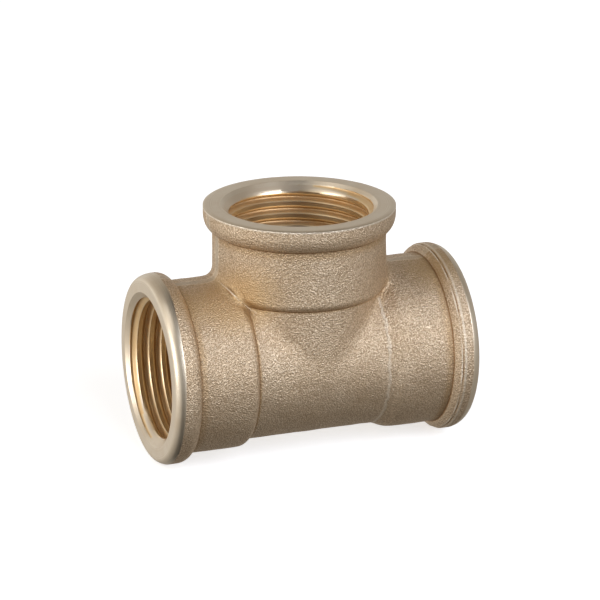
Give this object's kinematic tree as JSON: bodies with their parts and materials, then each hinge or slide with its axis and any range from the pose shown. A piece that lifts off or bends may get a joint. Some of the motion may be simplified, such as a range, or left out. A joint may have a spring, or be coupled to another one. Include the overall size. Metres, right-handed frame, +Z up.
{
  "type": "tee fitting",
  "caption": "Equal tee pipe fitting of cast brass, with a rolled rim and an internal G 1/2 pipe thread at each mouth of its run and branch.",
  "frame": {"origin": "centre of the bounding box at its base: straight below the crossing of the run and branch axes, level with the lowest points of the run's rims", "axes": "+X along the run, +Z up along the branch, out of its mouth"},
  "size_m": [0.0448, 0.027, 0.0355],
  "materials": {
    "brass_body": "shot-blasted cast skin, with smooth turned faces, chamfers and threads at the mouths"
  },
  "bodies": {
    "root": {"tee_body": "brass_body"}
  },
  "joints": []
}
